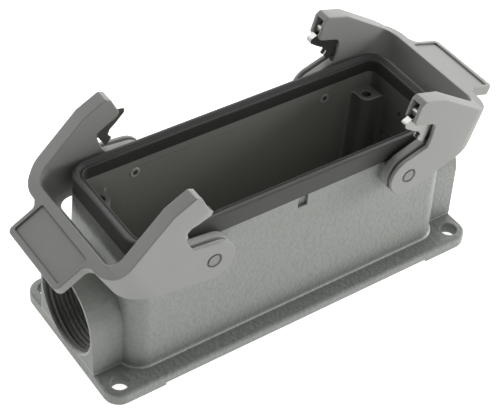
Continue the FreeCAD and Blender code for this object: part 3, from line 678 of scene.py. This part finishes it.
class SealSettings(bpy.types.PropertyGroup):
    """Rim seal."""
    colour: colour_setting("Colour", "Rubber colour", 0.045, 0.045, 0.043)
    # Painted sheen: the outer lip's lighter colour, its least share, and how much more of it
    # may show.
    sheen_colour: colour_setting("Bloom colour", "Rubber of the outer lip", 0.075, 0.076, 0.072)
    sheen_least: share_setting("Bloom least", "Least of the outer lip's bloom", 0.7)
    sheen_drift: share_setting("Bloom drift", "How much more of it there may be", 0.6)
    inner_half: place_setting("Inner half", "Half size inside the outer lip", 58.9, 19.6, 1000)
    roughness: share_setting("Roughness", "Dullness of the rubber", 0.5)
    grain: size_setting("Grain", "Depth of the rubber's grain", 0.01)
    edge_round: size_setting("Edge round", "Rounding of the lips", 0.15)


class LeverSettings(bpy.types.PropertyGroup):
    """Locking levers."""
    colour: colour_setting("Colour", "Moulding colour", 0.42, 0.425, 0.405)
    drift_colour: colour_setting("Drift colour", "Its slow variation", 0.39, 0.395, 0.375)
    # Painted shade in the lever's corners, grooves and recesses: its colour, its amount and its
    # reach.
    shade_colour: colour_setting("Dirt colour", "Grime in the corners", 0.07, 0.07, 0.067)
    corner_shade: share_setting("Dirt", "Amount of grime in the corners", 1.1)
    shade_reach: size_setting("Dirt reach", "How far it spreads", 0.9)
    roughness: share_setting("Roughness", "Dullness of the moulding", 0.42)
    grain: size_setting("Grain", "Depth of the spark grain", 0.008)
    edge_round: size_setting("Edge round", "Rounding of the outer edges", 0.4)
    pivot: place_setting("Pivot", "Middle of the right lever's pivots", 37.02, 0, 46.12)
    # Plain degrees: the rounding at the fork's corners answers to the angle's last digit.
    tilt_left: FloatProperty(name="Tilt left", description="Left lever's turn, in degrees",
                             default=29.0)
    tilt_right: FloatProperty(name="Tilt right", description="Right lever's turn, in degrees",
                              default=17.0)
    fork_corner: place_setting("Fork corner", "Corner in the fork, from the pivot along the "
                               "lever", 24.3, 22.3, 22.4)
    fork_foot: size_setting("Fork foot", "Lower end of the fork's corner", 8.8)
    cut_radius: size_setting("Cut radius", "Radius of that corner in the solid", 1.2)
    full_radius: size_setting("Full radius", "Radius that it shows", 5)


class SteelSettings(bpy.types.PropertyGroup):
    """Catches, leaf springs and pivot pins."""
    sheet_colour: colour_setting("Sheet colour", "Stainless sheet", 0.52, 0.515, 0.49)
    pin_colour: colour_setting("Pin colour", "Coated pin steel", 0.37, 0.375, 0.355)
    tail_colour: colour_setting("Tail colour", "Riveted ends of the pins", 0.6, 0.6, 0.575)
    # Painted shade in the riveting dimple.
    dimple_shade_colour: colour_setting("Dimple colour", "Grime in the dimple", 0.1, 0.1, 0.095)
    tail_half: place_setting("Tail half", "Half size over those ends", 1000, 20.5, 1000)
    sheet_round: size_setting("Sheet round", "Rounding of the cut edges", 0.08)
    head_groove: size_setting("Head groove", "Width of the ring in the head", 0.55)
    groove_depth: size_setting("Groove depth", "Depth of the ring", 0.8)
    head_edge: size_setting("Head edge", "Chamfer inside the ring", 0.1)
    dimple_radius: size_setting("Dimple radius", "Riveting dimple in the tail", 0.9)
    dimple_depth: size_setting("Dimple depth", "Its depth", 0.5)
    tail_edge: size_setting("Tail edge", "Chamfer round the tail", 0.15)
    head_radius: size_setting("Head radius", "Radius in the arm", 2.49)
    tail_radius: size_setting("Tail radius", "Radius in the wall", 1.79)
    shoulder: size_setting("Shoulder", "Distance of the shoulder from the middle", 22)
    steps: IntProperty(name="Steps", description="Segments round a pin", default=48)


class StageSettings(bpy.types.PropertyGroup):
    """Floor, light and camera."""
    azimuth: angle_setting("Azimuth", "Camera's turn about Z", -38.353)
    elevation: angle_setting("Elevation", "Camera's height angle", 43.154)
    roll: angle_setting("Roll", "Camera's turn about its own axis", 5.523)
    distance: size_setting("Distance", "From the aim point to the camera", 463.9)
    aim: place_setting("Aim", "Point at the picture's middle", -2.21, 2.3, 27)
    lens: FloatProperty(name="Lens", description="Focal length", unit="CAMERA",
                        default=102.48)
    clip: size_setting("Clip", "Nearest distance that the camera sees", 10)
    sky: share_setting("Sky", "Light from all round", 0.02)
    mirror: share_setting("Mirrored white", "White that the object mirrors", 0.55)
    front: power_setting("Front lamp", "Watts of the lamp ahead", 0.8)
    right: power_setting("Right lamp", "Watts of the low lamp at the right", 9.3)
    back: power_setting("Back lamp", "Watts of the low lamp behind", 3.5)
    back_right: power_setting("Back right lamp", "Watts behind the right end", 3.7)
    back_left: power_setting("Back left lamp", "Watts behind the left end", 1.6)
    back_top: power_setting("Back top lamp", "Watts over the back", 2.2)
    front_top: power_setting("Front top lamp", "Watts over the front", 0.6)
    lamp_size: size_setting("Lamp size", "Side of each square lamp", 600)
    lamp_distance: size_setting("Lamp distance", "From each lamp to its aim", 1000)
    lamp_aim: place_setting("Lamp aim", "Point that the lamps look at", 0, 0, 30)
    floor_half: size_setting("Floor half", "Half size of the floor", 3000)
    floor_colour: colour_setting("Floor colour", "Colour of the floor", 0.8, 0.8, 0.8)
    floor_light: share_setting("Floor light", "Light that the lit floor sends up", 0.7)
    floor_glow: share_setting("Floor glow", "How white the floor shows", 0.9)


SETTINGS = {
    "coat_settings": CoatSettings,
    "thread_settings": ThreadSettings,
    "seal_settings": SealSettings,
    "lever_settings": LeverSettings,
    "steel_settings": SteelSettings,
    "stage_settings": StageSettings,
}

# The direction in which each lamp stands; its watts are the stage setting of the same name.
LAMPS = {
    "front": (0.25, -1, 0.45),
    "right": (1, -0.3, 0.1),
    "back": (0, 1, 0.12),
    "back_right": (1, 0.8, 0.6),
    "back_left": (-1, 0.8, 0.6),
    "back_top": (0.1, 0.8, 1),
    "front_top": (0, -0.8, 1),
}


# Operators

class CONNECTOR_OT_effects(bpy.types.Operator):
    """Build the shader groups that the finishes share"""
    bl_idname = "connector.effects"
    bl_label = "Shared effects"

    def execute(self, context):
        make_hammer_group()
        make_grain_group()
        make_rolled_group()
        make_inside_group()
        make_corner_shade_group()
        return {"FINISHED"}


class CONNECTOR_OT_housing(bpy.types.Operator):
    """Round the casting's edges and paint it"""
    bl_idname = "connector.housing"
    bl_label = "Housing"

    def execute(self, context):
        settings = context.scene.coat_settings
        material = coat_material(settings, context.scene.thread_settings.axis_height)
        work = clean_copy("housing")
        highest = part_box("rim_seal")[0].z - settings.rim_gap
        soften(work, settings.edge_round, segments=2, wanted=lambda middle: middle.z < highest)
        finish_piece(work, "housing_casting", material, "housing_body",
                     ["housing"])
        return {"FINISHED"}


class CONNECTOR_OT_thread(bpy.types.Operator):
    """Cut the conduit thread in the cable entry"""
    bl_idname = "connector.thread"
    bl_label = "Cable entry thread"

    def execute(self, context):
        settings = context.scene.thread_settings
        pitch = settings.pitch
        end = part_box("housing")[0].x
        start = Vector((end + settings.start * pitch, 0, settings.axis_height))
        root = settings.radius + settings.sunk
        crest = settings.radius - settings.depth
        section = ((-settings.foot, root), (-settings.crest, crest),
                   (settings.crest, crest), (settings.foot, root))
        work = bmesh.new()
        verts = [work.verts.new(start + Vector((share * pitch, 0, radius)))
                 for share, radius in section]
        face = work.faces.new(verts)
        turns = (settings.length - pitch) / pitch
        bmesh.ops.spin(work, geom=[face], cent=start, axis=(1, 0, 0),
                       dvec=(pitch / settings.steps, 0, 0), angle=math.tau * turns,
                       steps=round(turns * settings.steps))
        bmesh.ops.recalc_face_normals(work, faces=work.faces[:])
        finish_piece(work, "cable_entry_thread", thread_material(settings),
                     "housing_body")
        return {"FINISHED"}


class CONNECTOR_OT_seal(bpy.types.Operator):
    """Round the seal's lips and give it its rubber"""
    bl_idname = "connector.seal"
    bl_label = "Rim seal"

    def execute(self, context):
        settings = context.scene.seal_settings
        work = clean_copy("rim_seal")
        soften(work, settings.edge_round, segments=2)
        finish_piece(work, "seal_moulding", rubber_material(settings), "housing_body",
                     ["rim_seal"])
        return {"FINISHED"}


class CONNECTOR_OT_levers(bpy.types.Operator):
    """Round the levers' edges and give them their moulding"""
    bl_idname = "connector.levers"
    bl_label = "Locking levers"

    def execute(self, context):
        settings = context.scene.lever_settings
        material = plastic_material(settings)
        for hand, side, tilt in (("left", -1, settings.tilt_left),
                                 ("right", 1, settings.tilt_right)):
            work = clean_copy("lever_" + hand)
            open_corners(work, settings, side, math.radians(tilt))
            soften(work, settings.edge_round, segments=3)
            finish_piece(work, "lever_moulding_" + hand, material, "lever_%s_body" % hand,
                         ["lever_" + hand])
        return {"FINISHED"}


class CONNECTOR_OT_springs(bpy.types.Operator):
    """Finish the steel catches and the leaf springs behind them"""
    bl_idname = "connector.springs"
    bl_label = "Catches and springs"

    def execute(self, context):
        settings = context.scene.steel_settings
        material = steel_material("stamped_stainless", settings.sheet_colour, metallic=1.0,
                                  roughness=0.22, stretch=SHEET_STRETCH)
        for hand in HANDS:
            for row in ROWS:
                place = "_%s_%s" % (hand, row)
                work = clean_copy("catch" + place)
                soften(work, settings.sheet_round, segments=2)
                finish_piece(work, "catch_stamping" + place, material, "lever_%s_body" % hand,
                             ["catch" + place])
                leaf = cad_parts["leaf_spring" + place]
                leaf.data.materials.clear()
                leaf.data.materials.append(material)
        return {"FINISHED"}


class CONNECTOR_OT_pins(bpy.types.Operator):
    """Turn the four pivot pins, with a ringed head and a dimpled tail"""
    bl_idname = "connector.pins"
    bl_label = "Pivot pins"

    def execute(self, context):
        settings = context.scene.steel_settings
        material = steel_material("coated_pin_steel", settings.pin_colour, metallic=0.1,
                                  roughness=0.4, stretch=PIN_STRETCH)
        show_tails(material, settings, Vector(context.scene.lever_settings.pivot))
        for hand in HANDS:
            for row, out in zip(ROWS, (-1, 1)):
                node = "pivot_pin_%s_%s" % (hand, row)
                low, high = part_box(node)
                centre = (low + high) / 2
                centre.y = 0
                tail, head = sorted((abs(low.y), abs(high.y)))
                work = bmesh.new()
                turned(work, pin_outline(settings, tail, head), centre, Vector((0, out, 0)),
                       settings.steps)
                finish_piece(work, "pin_turning_%s_%s" % (hand, row), material, "housing_body",
                             [node])
        return {"FINISHED"}


def pin_outline(settings, tail, head):
    """A pin's outline from tail to head, as distances from the middle and radii."""
    inner = settings.head_radius - settings.head_groove
    groove = head - settings.groove_depth
    return [
        (tail + settings.dimple_depth, 0),
        (tail, settings.dimple_radius),
        (tail, settings.tail_radius - settings.tail_edge),
        (tail + settings.tail_edge, settings.tail_radius),
        (settings.shoulder, settings.tail_radius),
        (settings.shoulder, settings.head_radius),
        (groove, settings.head_radius),
        (groove, inner),
        (head - settings.head_edge, inner),
        (head, inner - settings.head_edge),
        (head, 0),
    ]


class CONNECTOR_OT_stage(bpy.types.Operator):
    """Set the white floor, the soft lamps and the camera"""
    bl_idname = "connector.stage"
    bl_label = "Stage"

    def execute(self, context):
        settings = context.scene.stage_settings
        make_floor(settings)
        make_sky(settings)
        for name, side in LAMPS.items():
            make_lamp(settings, name, Vector(side).normalized())
        make_camera(settings)
        context.scene.view_settings.view_transform = "Standard"
        return {"FINISHED"}


def seen_strength(tree, plain, seen, mirrored):
    """Plain strength on the object, with one white to the eye and one to a mirror."""
    path = add_node(tree, "ShaderNodeLightPath")
    eye = maths(tree, "MAXIMUM", path.outputs["Is Camera Ray"],
                path.outputs["Is Transmission Ray"])
    strength = maths(tree, "MULTIPLY_ADD", eye, seen - plain, plain)
    glossy = path.outputs["Is Glossy Ray"]
    return maths(tree, "MULTIPLY_ADD", glossy, mirrored - plain, strength)


def make_floor(settings):
    """A white floor that shows white and keeps a soft shadow."""
    work = bmesh.new()
    bmesh.ops.create_grid(work, x_segments=1, y_segments=1, size=settings.floor_half)
    mesh = bpy.data.meshes.new("floor")
    work.to_mesh(mesh)
    work.free()
    material = bpy.data.materials.new("white_floor")
    material.use_nodes = True
    tree = material.node_tree
    tree.nodes.clear()
    glow = add_node(tree, "ShaderNodeEmission")
    feed(tree, glow.inputs["Strength"],
         seen_strength(tree, settings.floor_light, settings.floor_glow, settings.mirror))
    matt = add_node(tree, "ShaderNodeBsdfDiffuse")
    matt.inputs["Color"].default_value = (*settings.floor_colour, 1)
    total = add_node(tree, "ShaderNodeAddShader")
    feed(tree, total.inputs[0], glow.outputs[0])
    feed(tree, total.inputs[1], matt.outputs[0])
    output = add_node(tree, "ShaderNodeOutputMaterial")
    feed(tree, output.inputs["Surface"], total.outputs[0])
    mesh.materials.append(material)
    floor = bpy.data.objects.new("floor", mesh)
    bpy.context.scene.collection.objects.link(floor)


def make_sky(settings):
    """White to the eye, with a weak even light."""
    world = bpy.data.worlds.new("studio")
    bpy.context.scene.world = world
    world.use_nodes = True
    tree = world.node_tree
    tree.nodes.clear()
    light = add_node(tree, "ShaderNodeBackground")
    light.inputs["Color"].default_value = (1, 1, 1, 1)
    feed(tree, light.inputs["Strength"],
         seen_strength(tree, settings.sky, 1.0, settings.mirror))
    output = add_node(tree, "ShaderNodeOutputWorld")
    feed(tree, output.inputs["Surface"], light.outputs[0])


def make_lamp(settings, name, direction):
    """A large soft lamp that looks at the object from a direction."""
    lamp = bpy.data.lights.new("lamp_" + name, "AREA")
    lamp.shape = "SQUARE"
    lamp.size = settings.lamp_size
    lamp.energy = getattr(settings, name)
    holder = bpy.data.objects.new("lamp_" + name, lamp)
    bpy.context.scene.collection.objects.link(holder)
    place = Vector(settings.lamp_aim) + direction * settings.lamp_distance
    holder.matrix_world = Matrix.Translation(place) @ (
        direction.to_track_quat("Z", "Y").to_matrix().to_4x4())


def make_camera(settings):
    """The photograph's viewing angle."""
    turn, rise = settings.azimuth, settings.elevation
    back = Vector((math.sin(turn) * math.cos(rise), -math.cos(turn) * math.cos(rise),
                   math.sin(rise)))
    right = Vector((math.cos(turn), math.sin(turn), 0))
    level = Matrix((right, back.cross(right), back)).transposed().to_4x4()
    rolled = level @ Matrix.Rotation(settings.roll, 4, "Z")
    data = bpy.data.cameras.new("camera")
    data.lens = settings.lens
    data.clip_start = settings.clip
    camera = bpy.data.objects.new("camera", data)
    bpy.context.scene.collection.objects.link(camera)
    camera.matrix_world = Matrix.Translation(
        Vector(settings.aim) + back * settings.distance) @ rolled
    bpy.context.scene.camera = camera


class VIEW3D_PT_connector(bpy.types.Panel):
    """Lists the operators and the settings of the connector housing"""
    bl_label = "Connector housing"
    bl_idname = "VIEW3D_PT_connector"
    bl_space_type = "VIEW_3D"
    bl_region_type = "UI"
    bl_category = "Connector"

    def draw(self, context):
        for operator in OPERATORS:
            self.layout.operator(operator.bl_idname)
        for name in SETTINGS:
            box = self.layout.box()
            settings = getattr(context.scene, name)
            for key in settings.__annotations__:
                box.prop(settings, key)


OPERATORS = (
    CONNECTOR_OT_effects,
    CONNECTOR_OT_housing,
    CONNECTOR_OT_thread,
    CONNECTOR_OT_seal,
    CONNECTOR_OT_levers,
    CONNECTOR_OT_springs,
    CONNECTOR_OT_pins,
    CONNECTOR_OT_stage,
)


def register():
    """Register the settings, the operators and the panel."""
    for name, settings in SETTINGS.items():
        bpy.utils.register_class(settings)
        setattr(bpy.types.Scene, name, PointerProperty(type=settings))
    for operator in OPERATORS:
        bpy.utils.register_class(operator)
    bpy.utils.register_class(VIEW3D_PT_connector)


def unregister():
    """Take back what register added."""
    bpy.utils.unregister_class(VIEW3D_PT_connector)
    for operator in reversed(OPERATORS):
        bpy.utils.unregister_class(operator)
    for name, settings in SETTINGS.items():
        delattr(bpy.types.Scene, name)
        bpy.utils.unregister_class(settings)


def main():
    """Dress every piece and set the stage."""
    register()
    bpy.ops.connector.effects()
    bpy.ops.connector.housing()
    bpy.ops.connector.thread()
    bpy.ops.connector.seal()
    bpy.ops.connector.levers()
    bpy.ops.connector.springs()
    bpy.ops.connector.pins()
    bpy.ops.connector.stage()


if __name__ == "__main__":
    main()
